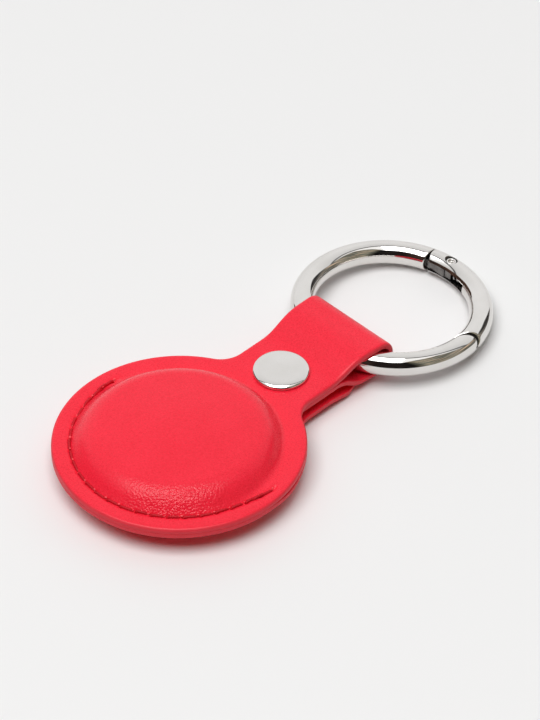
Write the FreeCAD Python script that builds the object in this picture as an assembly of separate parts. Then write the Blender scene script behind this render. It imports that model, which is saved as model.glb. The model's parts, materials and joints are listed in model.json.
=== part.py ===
import FreeCAD, Part
import math
import os

# Tracker tag holder: a round leather pouch with a snap strap that loops round a spring-gate ring.
# Millimetres. The origin is at the pouch's centre on the surface it lies on,
# +Y runs along the strap to the ring and +Z is the front face's side.

V = FreeCAD.Vector

# Leather
ply = 1.1
tag_r = 16.0
tag_h = 8.0
pocket_gap = 1.25
rim_w = 6.75
back_depth = 3.9
wall_deg = 57.0
shoulder_r = 6.0
base_fillet = 1.2
edge_round = 0.3

# Neck, strap and tab
neck_w = 17.8
fold_w = 19.0
neck_fillet = 5.0
flex_gap = 0.75
strap_lift = 1.2
merge_run = 3.7
bend_r = 5.0
bend_lead = 1.3
tail_gap = 1.0
tail_round = 2.0
tab_reach = 10.8
tab_chamfer = 2.4
tab_droop = 1.2
tab_bend_r = 0.8
tab_crease = 0.15

# Gaps between leather pieces that move apart
hinge_y = 4.0
split_gap = 0.2
rim_gap = 0.2

# Stitching
stitch_inset = 3.35
stitch_pitch = 2.9
stitch_len = 2.2
thread_d = 0.6
groove_w = 0.9
groove_depth = 0.35
stitch_end_deg = 9.0

# Snap fastener
snap_out = 2.85
cap_d = 10.3
cap_h = 1.1
cap_wall = 0.3
cap_edge_r = 0.6
cap_disc_h = 0.35
post_d = 3.3
post_bore_d = 2.7
flare_d = 4.4
flare_h = 0.2
socket_d = 8.6
socket_cup_d = 6.6
socket_h = 1.35
socket_wall = 0.3
socket_mouth_d = 4.3
spring_wire_d = 0.3
spring_gap_deg = 50.0
stud_d = 7.8
stud_head_d = 3.8
stud_neck_d = 3.2
stud_wall = 0.25
stud_recess = 0.15
stud_flange_h = 0.25
snap_clear = 0.1
base_d = 7.2
base_h = 0.45
stud_post_d = 2.0
hole_gap = 0.05

# Ring
ring_bore_d = 28.4
wire_d = 4.4
loop_slack = 0.3
ring_tilt_deg = 4.5
hinge_deg = 92.5

# Gate and its hinge
heel = 4.2
seam = 0.15
gate_end_deg = 83.5
nose_depth = 1.2
tongue_t = 1.6
tongue_side_gap = 0.15
tongue_nose_r = 1.5
tongue_top = 0.9
tongue_bottom = 1.9
tongue_root = 1.5
lug_reach = 1.5
lug_top = 0.2
lug_bottom = 1.75
slot_reach = 5.6
slot_roof = 0.6
pin_d = 1.9
pin_fit = 0.05
pin_seat = 0.01
pin_proud = 0.15
sink_d = 2.6
dimple_d = 1.0
dimple_depth = 0.25
coil_d = 1.5
coil_wire_d = 0.3
coil_pitch = 0.85
coil_drop = 0.98
coil_seat_gap = 0.1

# Levels and radii that follow from the sizes above
mid_z = back_depth + ply
rim_z = mid_z + ply
tail_z = mid_z - ply
half_wall = math.tan(math.radians(wall_deg) / 2)
wall_run = 1 / math.tan(math.radians(wall_deg))
pocket_r = tag_r + pocket_gap
disc_r = tag_r + rim_w
base_r = pocket_r + ply * half_wall
join_r = base_r + (base_fillet + edge_round) * half_wall
stitch_r = disc_r - stitch_inset
neck_half = neck_w / 2
fold_half = fold_w / 2
wire_r = wire_d / 2
ring_r = ring_bore_d / 2 + wire_r
loop_r = wire_r + loop_slack
socket_z = tail_z - socket_h
tab_z = socket_z - snap_clear - (stud_flange_h - stud_recess)
tilt = math.radians(ring_tilt_deg)
lift = loop_slack / 2
far_z = wire_r + lift
ring_z = far_z + ring_r * math.sin(tilt)

# Places along the strap, from the pouch's edge out to the ring
snap_y = disc_r + snap_out
flex_y = snap_y + cap_d / 2 + flex_gap
lift_y = flex_y + split_gap / 2 + strap_lift
near_y = lift_y + merge_run
ring_y = near_y + bend_lead + ring_r * math.cos(tilt)
fold_y = ring_y - math.sqrt((ring_bore_d / 2) ** 2 - fold_half ** 2) + loop_slack + ply
loop_y = fold_y - ply - loop_r
clear_span = 4 * disc_r


def in_plan(u, v):
    return V(u, v, 0)


def in_side(u, v):
    return V(0, u, v)


def in_turn(u, v):
    return V(u, 0, v)


def rounded_face(corners, place):
    """Face of a polygon given as (u, v, corner radius), with arcs at the rounded corners."""
    starts = []
    ends = []
    arcs = []
    count = len(corners)
    for i in range(count):
        here = V(corners[i][0], corners[i][1], 0)
        last = V(corners[i - 1][0], corners[i - 1][1], 0)
        coming = V(corners[(i + 1) % count][0], corners[(i + 1) % count][1], 0)
        radius = corners[i][2]
        if radius == 0:
            starts.append(here)
            ends.append(here)
            arcs.append(None)
            continue
        back = (last - here).normalize()
        ahead = (coming - here).normalize()
        half = back.getAngle(ahead) / 2
        reach = radius / math.tan(half)
        inward = (back + ahead).normalize()
        starts.append(here + back * reach)
        ends.append(here + ahead * reach)
        arcs.append(here + inward * (radius / math.sin(half) - radius))
    edges = []
    for i in range(count):
        if arcs[i] is not None:
            spots = [place(p.x, p.y) for p in (starts[i], arcs[i], ends[i])]
            edges.append(Part.Arc(*spots).toShape())
        after = starts[(i + 1) % count]
        if ends[i].distanceToPoint(after) > 1e-6:
            edges.append(Part.makeLine(place(ends[i].x, ends[i].y), place(after.x, after.y)))
    return Part.Face(Part.Wire(edges))


def turned(corners):
    """Solid of revolution about Z from (radius, z, corner radius) corners."""
    return rounded_face(corners, in_turn).revolve(V(0, 0, 0), V(0, 0, 1), 360)


def side_extrusion(corners, half_width):
    """Solid with a (y, z) profile, as wide as twice half_width across X."""
    face = rounded_face(corners, in_side)
    face.translate(V(-half_width, 0, 0))
    return face.extrude(V(2 * half_width, 0, 0))


def block(x0, x1, y0, y1, z0, z1):
    return Part.makeBox(x1 - x0, y1 - y0, z1 - z0, V(x0, y0, z0))


def rod(radius, z0, z1, x=0, y=0):
    return Part.makeCylinder(radius, z1 - z0, V(x, y, z0))


def offset_path(points, distance):
    """Points of an open path moved to its left by a distance, mitred at the corners."""
    moved = []
    for i in range(len(points)):
        here = V(points[i][0], points[i][1], 0)
        before = V(points[max(i - 1, 0)][0], points[max(i - 1, 0)][1], 0)
        after = V(points[min(i + 1, len(points) - 1)][0], points[min(i + 1, len(points) - 1)][1], 0)
        into = (here - before) if i > 0 else (after - here)
        out = (after - here) if i < len(points) - 1 else into
        into.normalize()
        out.normalize()
        left_in = V(-into.y, into.x, 0)
        left_out = V(-out.y, out.x, 0)
        mitre = (left_in + left_out).normalize()
        spot = here + mitre * (distance / mitre.dot(left_in))
        moved.append((spot.x, spot.y))
    return moved


def outline(end_corners):
    """Plan face of the round pouch with a filleted neck; end_corners close the neck from right to left."""
    centre_x = neck_half + neck_fillet
    centre_y = math.sqrt((disc_r + neck_fillet) ** 2 - centre_x ** 2)
    share = disc_r / (disc_r + neck_fillet)
    touch = V(centre_x * share, centre_y * share, 0)
    mid_dir = (V(neck_half - centre_x, 0, 0).normalize() + V(-centre_x, -centre_y, 0).normalize()).normalize()
    mid = V(centre_x, centre_y, 0) + mid_dir * neck_fillet
    start = V(neck_half, centre_y, 0)
    mirror = [V(-p.x, p.y, 0) for p in (start, mid, touch)]
    edges = [Part.Arc(mirror[0], mirror[1], mirror[2]).toShape()]
    edges.append(Part.Arc(mirror[2], V(0, -disc_r, 0), touch).toShape())
    edges.append(Part.Arc(touch, mid, start).toShape())
    walk = [start] + [V(x, y, 0) for x, y in end_corners] + [mirror[0]]
    for a, b in zip(walk, walk[1:]):
        edges.append(Part.makeLine(a, b))
    return Part.Face(Part.Wire(edges))


def prism(face, z0, z1):
    moved = face.copy()
    moved.translate(V(0, 0, z0))
    return moved.extrude(V(0, 0, z1 - z0))


def dome(rise, level, side):
    """Moulded half of the pocket: side +1 rises above level, side -1 hangs below it."""
    shift = ply * half_wall
    run = rise * wall_run
    inner = level
    outer = level + side * ply
    corners = [
        (0, outer + side * rise, 0),
        (base_r - run, outer + side * rise, shoulder_r),
        (base_r, outer, base_fillet),
        (join_r, outer, 0),
        (join_r, inner, 0),
        (base_r - shift, inner, base_fillet + ply),
        (base_r - shift - run, inner + side * rise, shoulder_r - ply),
        (0, inner + side * rise, 0),
    ]
    return turned(corners)


def stitch_angles():
    """Angles of the stitches' middles along the sewn edge, round by the end away from the strap."""
    first = 180 - stitch_end_deg
    last = 360 + stitch_end_deg
    step = math.degrees(stitch_pitch / stitch_r)
    count = int((last - first) / step)
    spare = (last - first - count * step) / 2
    return [first + spare + step * (i + 0.5) for i in range(count)]


def groove(z0, z1):
    """Ring-shaped channel that the stitches lie in, along the sewn edge only."""
    near = stitch_r - groove_w / 2
    far = stitch_r + groove_w / 2
    corners = [(near, z0, 0), (far, z0, 0), (far, z1, 0), (near, z1, 0)]
    face = rounded_face(corners, in_turn)
    face.rotate(V(0, 0, 0), V(0, 0, 1), 180 - stitch_end_deg)
    return face.revolve(V(0, 0, 0), V(0, 0, 1), 180 + 2 * stitch_end_deg)


def stitches(z):
    """Short lengths of thread end to end along the sewn edge, with their middles at height z."""
    rods = []
    for angle in stitch_angles():
        bar = Part.makeCylinder(thread_d / 2, stitch_len, V(stitch_r, -stitch_len / 2, z), V(0, 1, 0))
        bar.rotate(V(0, 0, 0), V(0, 0, 1), angle)
        rods.append(bar)
    return Part.makeCompound(rods)


def post_hole(diameter):
    return rod(diameter / 2 + hole_gap, -clear_span, clear_span, 0, snap_y)


def front_panel():
    """Front of the pouch with its neck, as far as the line where the strap bends."""
    end_y = flex_y - split_gap / 2
    plate = prism(outline([(neck_half, end_y), (-neck_half, end_y)]), mid_z, rim_z)
    plate = plate.cut(rod(join_r, mid_z, rim_z))
    panel = plate.fuse(dome(tag_h - back_depth, mid_z, 1)).removeSplitter()
    panel = panel.cut(groove(rim_z - groove_depth, rim_z + groove_depth))
    return panel.cut(post_hole(post_d))


def strap_path():
    """Inner face of the folded strap in (y, z), from the bend line round the ring's wire and back."""
    near_z = ring_z + (ring_y - near_y) * math.tan(tilt)
    edge_z = ring_z + (ring_y - loop_y) * math.tan(tilt)
    start_y = flex_y + split_gap / 2
    tip_y = loop_y + loop_r
    return [
        (start_y, mid_z),
        (lift_y, mid_z),
        (near_y, near_z - loop_r),
        (tip_y, edge_z - loop_r),
        (tip_y, edge_z + loop_r),
        (near_y, near_z + loop_r),
        (lift_y, mid_z),
        (start_y, mid_z),
    ]


def strap_loop():
    """Strap beyond the bend line: up over the wire, round it and back below."""
    inner = strap_path()
    outer = offset_path(inner, -ply)
    turn = loop_r - loop_slack / 2
    outer_radii = [0, bend_r, bend_r + ply, turn + ply, turn + ply, bend_r + ply, bend_r, 0]
    inner_radii = [0, bend_r, turn, turn, bend_r]
    skin = [(p[0], p[1], r) for p, r in zip(outer, outer_radii)]
    hole = [(p[0], p[1], r) for p, r in zip(inner[1:6], inner_radii)]
    strap = side_extrusion(skin, fold_half).cut(side_extrusion(hole, fold_half))
    start_y = inner[0][0]
    widths = [(neck_half, start_y), (fold_half, fold_y), (-fold_half, fold_y), (-neck_half, start_y)]
    plan = rounded_face([(x, y, 0) for x, y in widths], in_plan)
    return strap.common(prism(plan, -clear_span, clear_span))


def strap_tail():
    """End of the strap under the neck, held by the snap's socket."""
    end_y = snap_y - socket_d / 2 - tail_gap
    stop_y = flex_y - split_gap / 2
    corners = [
        (-neck_half, stop_y, 0),
        (-neck_half, end_y, tail_round),
        (neck_half, end_y, tail_round),
        (neck_half, stop_y, 0),
    ]
    tail = prism(rounded_face(corners, in_plan), tail_z, mid_z)
    return tail.cut(post_hole(post_d))


def back_sheet(level, end_corners, profile):
    """Back leather before it is parted: the dome, and a bent sheet cut to the outline round it."""
    sheet = side_extrusion(profile, disc_r).common(prism(outline(end_corners), -clear_span, clear_span))
    sheet = sheet.cut(rod(join_r, -clear_span, clear_span))
    return sheet.fuse(dome(level - ply, level, -1)).removeSplitter()


def back_panel():
    """Sewn half of the back."""
    flat = [(-disc_r, mid_z), (disc_r, mid_z)]
    under = offset_path(flat, -ply)
    profile = [(y, z, 0) for y, z in flat + under[::-1]]
    sheet = back_sheet(mid_z, [(neck_half, disc_r), (-neck_half, disc_r)], profile)
    sewn = block(-disc_r, disc_r, -disc_r, hinge_y - split_gap / 2, -clear_span, clear_span)
    panel = sheet.common(sewn)
    return panel.cut(groove(tail_z - groove_depth, tail_z + groove_depth))


def back_flap():
    """Free half of the back: it bends down past the pocket and ends in the tab that carries the stud."""
    level = mid_z - rim_gap
    end_y = snap_y + tab_reach
    seat_r = max(stud_d, base_d) / 2
    flat_y = snap_y + seat_r + tab_crease
    crease_y = join_r + tab_crease
    foot_y = snap_y - seat_r - tab_crease
    top = [(-disc_r, level), (crease_y, level), (foot_y, tab_z), (flat_y, tab_z), (end_y, tab_z - tab_droop)]
    under = offset_path(top, -ply)
    top_radii = [0, tab_bend_r + ply, tab_bend_r, bend_r + ply, 0]
    under_radii = [0, tab_bend_r, tab_bend_r + ply, bend_r, 0]
    profile = [(p[0], p[1], r) for p, r in zip(top, top_radii)]
    profile += [(p[0], p[1], r) for p, r in zip(under[::-1], under_radii[::-1])]
    cut_y = end_y - tab_chamfer
    tip_half = neck_half - tab_chamfer
    corners = [(neck_half, cut_y), (tip_half, end_y), (-tip_half, end_y), (-neck_half, cut_y)]
    sheet = back_sheet(level, corners, profile)
    free = block(-disc_r, disc_r, hinge_y + split_gap / 2, clear_span, -clear_span, clear_span)
    flap = sheet.common(free)
    flap = flap.cut(rod(stud_d / 2 + hole_gap, tab_z - stud_recess, clear_span, 0, snap_y))
    return flap.cut(post_hole(stud_post_d))


def at_snap(shape, z):
    shape.translate(V(0, snap_y, z))
    return shape


def snap_cap():
    """Thin pressed cap, curled in under its edge round the post's disc."""
    radius = cap_d / 2
    curl = cap_h - cap_wall - cap_disc_h
    corners = [
        (0, cap_h, 0),
        (radius, cap_h, cap_edge_r),
        (radius, 0, cap_wall),
        (radius - 2 * cap_wall, 0, 0),
        (radius - 2 * cap_wall, curl - cap_wall / 2, 0),
        (radius - cap_wall, curl - cap_wall / 2, 0),
        (radius - cap_wall, cap_h - cap_wall, cap_edge_r - cap_wall),
        (0, cap_h - cap_wall, 0),
    ]
    return at_snap(turned(corners), rim_z)


def cap_post():
    """Disc held inside the cap, with a hollow post through the leather and a flare under the socket's plate."""
    disc_radius = cap_d / 2 - cap_wall - hole_gap
    disc_top = cap_h - cap_wall
    disc_low = disc_top - cap_disc_h
    seat = tail_z - socket_wall - rim_z
    corners = [
        (0, disc_top, 0),
        (disc_radius, disc_top, cap_edge_r - cap_wall),
        (disc_radius, disc_low, 0),
        (disc_radius - 2 * cap_wall, disc_low, 0),
        (disc_radius - 2 * cap_wall, 0, 0),
        (post_d / 2, 0, 0),
        (post_d / 2, seat, 0),
        (flare_d / 2, seat, 0),
        (flare_d / 2, seat - flare_h, flare_h / 2),
        (post_bore_d / 2, seat - flare_h, flare_h),
        (post_bore_d / 2, disc_low, 0),
        (0, disc_low, 0),
    ]
    return at_snap(turned(corners), rim_z)


def snap_socket():
    """Flanged cup under the strap, with a narrower mouth that the stud's head goes through."""
    cup = socket_cup_d / 2
    mouth = socket_mouth_d / 2
    corners = [
        (post_d / 2 + hole_gap, socket_h, 0),
        (socket_d / 2, socket_h, 0),
        (socket_d / 2, socket_h - socket_wall, 0),
        (cup, socket_h - socket_wall, 0),
        (cup, 0, socket_wall),
        (mouth, 0, socket_wall / 3),
        (mouth, socket_wall, socket_wall / 3),
        (cup - socket_wall, socket_wall, 0),
        (cup - socket_wall, socket_h - socket_wall, 0),
        (post_d / 2 + hole_gap, socket_h - socket_wall, 0),
    ]
    return at_snap(turned(corners), socket_z)


def socket_spring():
    """Split ring of wire in the socket's cup, round the stud's neck."""
    mean_r = socket_mouth_d / 2 + spring_wire_d / 2
    circle = Part.makeCircle(spring_wire_d / 2, V(mean_r, 0, 0), V(0, 1, 0))
    ring = Part.Face(Part.Wire(circle)).revolve(V(0, 0, 0), V(0, 0, 1), 360 - spring_gap_deg)
    ring.rotate(V(0, 0, 0), V(0, 0, 1), 90 + spring_gap_deg / 2)
    return at_snap(ring, socket_z + socket_wall + spring_wire_d / 2)


def head_top():
    """Height of the stud's head above the tab, up to just under the cap post's flare."""
    return tail_z - socket_wall - flare_h - snap_clear - tab_z


def snap_stud():
    """Hollow stud seated in the tab, with a bulb that the socket's spring closes under."""
    neck = stud_neck_d / 2
    bulb = stud_head_d / 2
    top = head_top()
    flange = stud_flange_h - stud_recess
    corners = [
        (stud_post_d / 2 + hole_gap, -stud_recess, 0),
        (stud_d / 2, -stud_recess, 0),
        (stud_d / 2, flange, 0),
        (neck, flange, 0),
        (bulb, (flange + top) / 2, stud_wall),
        (neck, top, stud_wall),
        (stud_post_d / 2 + hole_gap, top, 0),
    ]
    return at_snap(turned(corners), tab_z)


def stud_post():
    """Rivet under the tab: a shallow base, and a post flared over the stud's head."""
    post = stud_post_d / 2
    top = head_top()
    low = -ply - base_h
    corners = [
        (0, low, 0),
        (base_d / 2, low, base_h / 2),
        (base_d / 2, -ply, 0),
        (post, -ply, 0),
        (post, top, 0),
        (0, top, 0),
    ]
    return at_snap(turned(corners), tab_z)


def placed(shape):
    """Moves a piece from the hinge's frame, pin at the origin and gate along +X, to its place in the holder."""
    shape.translate(V(0, ring_r, 0))
    shape.rotate(V(0, 0, 0), V(0, 0, 1), hinge_deg - 90)
    shape.rotate(V(0, 0, 0), V(1, 0, 0), -ring_tilt_deg)
    shape.translate(V(0, ring_y, ring_z))
    return shape


def wire_ring():
    return Part.makeTorus(ring_r, wire_r, V(0, -ring_r, 0), V(0, 0, 1))


def nose_disc(gap):
    """Disc about the pin whose edge is the gate's nose, so that the nose leaves its notch as the gate turns."""
    chord = 2 * ring_r * math.sin(math.radians(gate_end_deg) / 2)
    slope = nose_depth / wire_r
    reach = wire_r + nose_depth
    ridge = chord + nose_depth / 2 + gap
    back = ridge - slope * reach
    corners = [(0, -reach, 0), (back, -reach, 0), (ridge, 0, 0), (back, reach, 0), (0, reach, 0)]
    return turned(corners)


def tongue_slab(thickness):
    return block(-clear_span, clear_span, -clear_span, clear_span, -thickness / 2, thickness / 2)


def tongue():
    """Flat tongue on the ring's end: root, round nose about the pin, and the lug that the spring pushes on."""
    root_x = -heel - seam - tongue_root
    shape = rod(tongue_nose_r, -wire_r, wire_r)
    shape = shape.fuse(block(root_x, 0, -tongue_bottom, tongue_top, -wire_r, wire_r))
    shape = shape.fuse(block(0, lug_reach, -lug_bottom, -lug_top, -wire_r, wire_r))
    shape = shape.common(tongue_slab(tongue_t))
    return shape.cut(rod(pin_d / 2 + pin_fit, -wire_r, wire_r))


def ring_body():
    """Open ring of round wire, notched at one end and with the hinge's tongue at the other."""
    beyond = block(-heel - seam, clear_span, -clear_span, clear_span, -clear_span, clear_span)
    body = wire_ring().cut(nose_disc(seam).common(beyond))
    return placed(body.fuse(tongue()).removeSplitter())


def gate_slot():
    """Slot in the gate's hinge end, open to the ring's inside, for the tongue and the spring."""
    roof = rod(ring_r + slot_roof, -wire_r, wire_r, 0, -ring_r)
    along = block(0, slot_reach, -clear_span, clear_span, -wire_r, wire_r).common(roof)
    low = -2 * wire_d
    along = along.common(block(0, slot_reach, low, wire_d, -wire_r, wire_r))
    cheek = block(-2 * heel, 0, low, tongue_top + tongue_side_gap, -wire_r, wire_r)
    shape = along.fuse(cheek).fuse(rod(tongue_nose_r + tongue_side_gap, -wire_r, wire_r))
    return shape.common(tongue_slab(tongue_t + 2 * tongue_side_gap))


def sinks():
    """Countersinks at both ends of the pin's hole."""
    wide = sink_d / 2
    narrow = pin_d / 2
    depth = wide - narrow
    upper = Part.makeCone(narrow, wide + depth, 2 * depth, V(0, 0, wire_r - depth))
    lower = Part.makeCone(wide + depth, narrow, 2 * depth, V(0, 0, -wire_r - depth))
    return upper.fuse(lower)


def ring_gate():
    """Gate: nose at the free end, slotted heel at the pin, its inner corner rounded so that it can turn."""
    ahead = block(0, clear_span, -clear_span, clear_span, -wire_d, wire_d)
    outer_heel = block(-heel, 0, 0, wire_d, -wire_d, wire_d)
    zone = ahead.fuse(outer_heel).fuse(rod(heel, -wire_d, wire_d))
    gate = wire_ring().common(nose_disc(0)).common(zone)
    gate = gate.cut(gate_slot())
    gate = gate.cut(rod(pin_d / 2 + pin_seat, -wire_d, wire_d))
    return placed(gate.cut(sinks()))


def hinge_pin():
    """Riveted pin, dimpled at both ends."""
    end = wire_r - pin_proud
    pin = rod(pin_d / 2, -end, end)
    dimple = Part.makeCone(0, dimple_d / 2, dimple_depth, V(0, 0, end - dimple_depth))
    pin = pin.cut(dimple)
    dimple.rotate(V(0, 0, 0), V(1, 0, 0), 180)
    return placed(pin.cut(dimple))


def arc_edge(start, corner, end):
    """Arc from start to end whose end tangents meet at corner."""
    middle = (start + end) * 0.5
    half_chord = (end - start).Length / 2
    rise = (corner - middle).Length
    bend = math.atan2(rise, half_chord)
    crown = middle + (corner - middle) * (half_chord * math.tan(bend / 2) / rise)
    return Part.Arc(start, crown, end).toShape()


def biarc(p0, t0, p1, t1):
    """Two arcs that join two points smoothly, with the given directions at the ends."""
    span = p1 - p0
    both = t0 + t1
    lean = 2 * (1 - t0.dot(t1))
    reach = (math.sqrt(span.dot(both) ** 2 + lean * span.dot(span)) - span.dot(both)) / lean
    first = p0 + t0 * reach
    second = p1 - t1 * reach
    joint = (first + second) * 0.5
    return [arc_edge(p0, first, joint), arc_edge(joint, second, p1)]


def coil_spot(turns):
    """Point and direction on the spring's helix after a number of turns, in the hinge's frame."""
    mean_r = (coil_d - coil_wire_d) / 2
    angle = 2 * math.pi * turns
    start = lug_reach + coil_seat_gap + coil_wire_d / 2
    spot = V(start + coil_pitch * turns, mean_r * math.cos(angle) - coil_drop, mean_r * math.sin(angle))
    way = V(coil_pitch / (2 * math.pi), -mean_r * math.sin(angle), mean_r * math.cos(angle))
    return spot, way.normalize()


def gate_spring():
    """Compression spring between the tongue's lug and the end of the gate's slot."""
    room = slot_reach - lug_reach - 2 * coil_seat_gap - coil_wire_d
    quarters = int(4 * room / coil_pitch)
    spots = [coil_spot(i / 4) for i in range(quarters + 1)]
    lead = spots[0][0] - spots[0][1] * coil_wire_d
    tail = spots[-1][0] + spots[-1][1] * coil_wire_d
    edges = [Part.makeLine(lead, spots[0][0])]
    for (p0, t0), (p1, t1) in zip(spots, spots[1:]):
        edges += biarc(p0, t0, p1, t1)
    edges.append(Part.makeLine(spots[-1][0], tail))
    path = Part.Wire(edges)
    circle = Part.makeCircle(coil_wire_d / 2, lead, spots[0][1])
    spring = path.makePipeShell([Part.Wire(circle)], True, False)
    print("gate_spring turns", quarters / 4, "least gap between turns", round(least_gap(path), 3))
    return placed(spring)


def least_gap(path):
    """Least clear distance from the spring's wire to itself, over points at least half a turn apart."""
    count = 400
    points = path.discretize(count)
    step = path.Length / (count - 1)
    half_turn = math.pi * (coil_d - coil_wire_d) / 2
    skip = int(half_turn / step)
    nearest = clear_span
    for i in range(count):
        for j in range(i + skip, count):
            nearest = min(nearest, points[i].distanceToPoint(points[j]))
    return nearest - coil_wire_d


def stitch_front():
    return stitches(rim_z - groove_depth + thread_d / 2)


def stitch_back():
    return stitches(tail_z + groove_depth - thread_d / 2)


PIECES = [
    front_panel, strap_loop, strap_tail, back_panel, back_flap, stitch_front, stitch_back,
    snap_cap, cap_post, snap_socket, socket_spring, snap_stud, stud_post,
    ring_body, ring_gate, hinge_pin, gate_spring,
]

os.makedirs("parts", exist_ok=True)
for make in PIECES:
    shape = make()
    shape.exportStep("parts/" + make.__name__ + ".step")
    box = shape.BoundBox
    print(make.__name__, len(shape.Solids), shape.isValid(), round(shape.Volume, 2),
          [round(v, 2) for v in (box.XMin, box.XMax, box.YMin, box.YMax, box.ZMin, box.ZMax)])
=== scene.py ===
import json
from math import acos, asin, atan2, cos, dist, hypot, pi, radians, sin, sqrt, tan, tau

import bmesh
import bpy
import numpy as np
from mathutils import Matrix, Vector
from mathutils.geometry import delaunay_2d_cdt


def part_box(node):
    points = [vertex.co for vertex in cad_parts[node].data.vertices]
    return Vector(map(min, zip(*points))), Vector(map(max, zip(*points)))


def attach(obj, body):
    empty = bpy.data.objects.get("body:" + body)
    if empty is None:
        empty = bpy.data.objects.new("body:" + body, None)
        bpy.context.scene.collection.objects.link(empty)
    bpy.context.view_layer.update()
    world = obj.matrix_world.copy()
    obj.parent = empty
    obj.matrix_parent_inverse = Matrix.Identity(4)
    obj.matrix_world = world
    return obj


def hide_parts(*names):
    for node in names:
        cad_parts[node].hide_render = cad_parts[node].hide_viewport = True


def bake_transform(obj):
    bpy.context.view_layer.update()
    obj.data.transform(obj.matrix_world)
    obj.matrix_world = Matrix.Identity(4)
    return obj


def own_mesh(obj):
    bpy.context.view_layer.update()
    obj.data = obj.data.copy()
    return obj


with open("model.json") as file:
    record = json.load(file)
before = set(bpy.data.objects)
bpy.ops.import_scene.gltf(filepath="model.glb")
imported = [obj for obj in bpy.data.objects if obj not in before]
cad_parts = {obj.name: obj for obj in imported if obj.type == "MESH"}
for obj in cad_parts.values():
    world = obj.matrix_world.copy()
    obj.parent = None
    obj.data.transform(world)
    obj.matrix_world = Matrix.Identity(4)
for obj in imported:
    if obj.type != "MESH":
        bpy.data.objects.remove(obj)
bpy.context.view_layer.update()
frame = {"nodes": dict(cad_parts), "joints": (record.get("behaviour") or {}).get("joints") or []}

# Tracker tag holder: leather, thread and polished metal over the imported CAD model.
# Metres, in the CAD frame: the pouch's centre is the origin, +Y runs along the strap
# to the ring and +Z is the front face's side.

MM = 0.001

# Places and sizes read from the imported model
front_low, front_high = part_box("front_panel")
disc_r = front_high.x
mid_z = front_low.z
top_z = front_high.z
neck_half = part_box("strap_tail")[1].x
fold_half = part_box("strap_loop")[1].x
fold_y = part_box("strap_loop")[1].y
tail_end_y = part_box("strap_tail")[0].y
tab_box_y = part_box("back_flap")[1].y
cap_low, cap_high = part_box("snap_cap")
snap_y = ((cap_low + cap_high) / 2).y
cap_r = (cap_high.y - cap_low.y) / 2
cap_h = cap_high.z - cap_low.z
joints = {j["name"]: j for j in frame["joints"]}
flex_y = joints["strap_flex"]["pos_m"][1]
hinge_y = joints["flap_open"]["pos_m"][1]
ring_centre = Vector(joints["ring_turn"]["pos_m"])
ring_axis = Vector(joints["ring_turn"]["axis"])

# Leather sizes of the CAD model
ply = 1.1 * MM
tag_r = 16.0 * MM
pocket_gap = 1.25 * MM
wall_angle = radians(57.0)
base_fillet = 1.2 * MM
edge_round = 0.3 * MM
neck_fillet = 5.0 * MM
strap_lift = 1.3 * MM
merge_run = 3.7 * MM
bend_r = 5.0 * MM
tail_round = 2.0 * MM
tab_cut = 2.4 * MM
tab_droop = 1.2 * MM
tab_bend_r = 0.8 * MM
tab_crease = 0.15 * MM
tab_z = 2.35 * MM
stud_seat_r = 3.9 * MM
rim_gap = 0.2 * MM

# Ring sizes of the CAD model, in the hinge's frame: pin at the origin, gate along +X
pin = Vector(joints["gate_hinge"]["pos_m"])
ring_r = (pin - ring_centre).length
wire_r = 2.2 * MM
heel = 4.2 * MM
seam = 0.15 * MM
gate_end = radians(83.5)
nose_depth = 1.2 * MM
tongue_half = 0.8 * MM
tongue_gap = 0.15 * MM
tongue_nose_r = 1.5 * MM
tongue_top = 0.9 * MM
tongue_bottom = 1.9 * MM
tongue_root = 1.5 * MM
lug_reach = 1.5 * MM
lug_top = 0.2 * MM
lug_bottom = 1.75 * MM
slot_reach = 5.6 * MM
slot_roof = 0.6 * MM
pin_r = 0.95 * MM
sink_r = 1.3 * MM
coil_d = 1.5 * MM
coil_wire_d = 0.3 * MM
coil_pitch = 0.85 * MM
coil_drop = 0.98 * MM
coil_seat_gap = 0.1 * MM

# Metal as it is dressed
cap_pillow = 1.5 * MM
cap_dome = 0.05 * MM
cap_edge_r = 0.6 * MM
cap_foot_r = 0.3 * MM
cap_foot_in = 0.6 * MM
lip_r = 0.2 * MM
nose_gap = 0.7 * MM
face_steps = 10
edge_steps = 16
end_rows = 4
lip_rows = 5
slot_steps = 60
pin_groove = 0.12 * MM
pin_recess = 0.35 * MM
slot_past = 2.0 * MM

# Leather as it is dressed
half_ply = ply / 2
seam_gap = 0.004 * MM
loop_slack = 0.06 * MM
loop_room = 0.16 * MM
tab_more = 1.2 * MM
tab_end_y = tab_box_y + tab_more
tab_chamfer = 1.4 * MM
flap_bend_half = 2.0 * MM
flap_bend_r = 20.0 * MM
dome_sink = 1.0 * MM
free_angle = radians(54.0)
free_foot = 18.1 * MM
free_shoulder = 4.2 * MM
sewn_angle = radians(48.0)
sewn_foot = 18.85 * MM
sewn_shoulder = 6.2 * MM
sewn_blend = 0.8
dome_foot_r = 1.3 * MM
front_roll = 0.62 * MM
back_roll = 0.34 * MM
edge_square = 2.1
part_gap = 0.35 * MM
part_from = 20.0 * MM
part_angle = radians(15.0)
part_half = radians(17.0)
crown = 1.30 * MM
crown_r = 100.0 * MM
rise_lead = 0.3 * MM
crest_lag = 0.4 * MM
rise_r = 11.0 * MM
snap_press = 0.06 * MM
snap_press_run = 0.22 * MM

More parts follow.
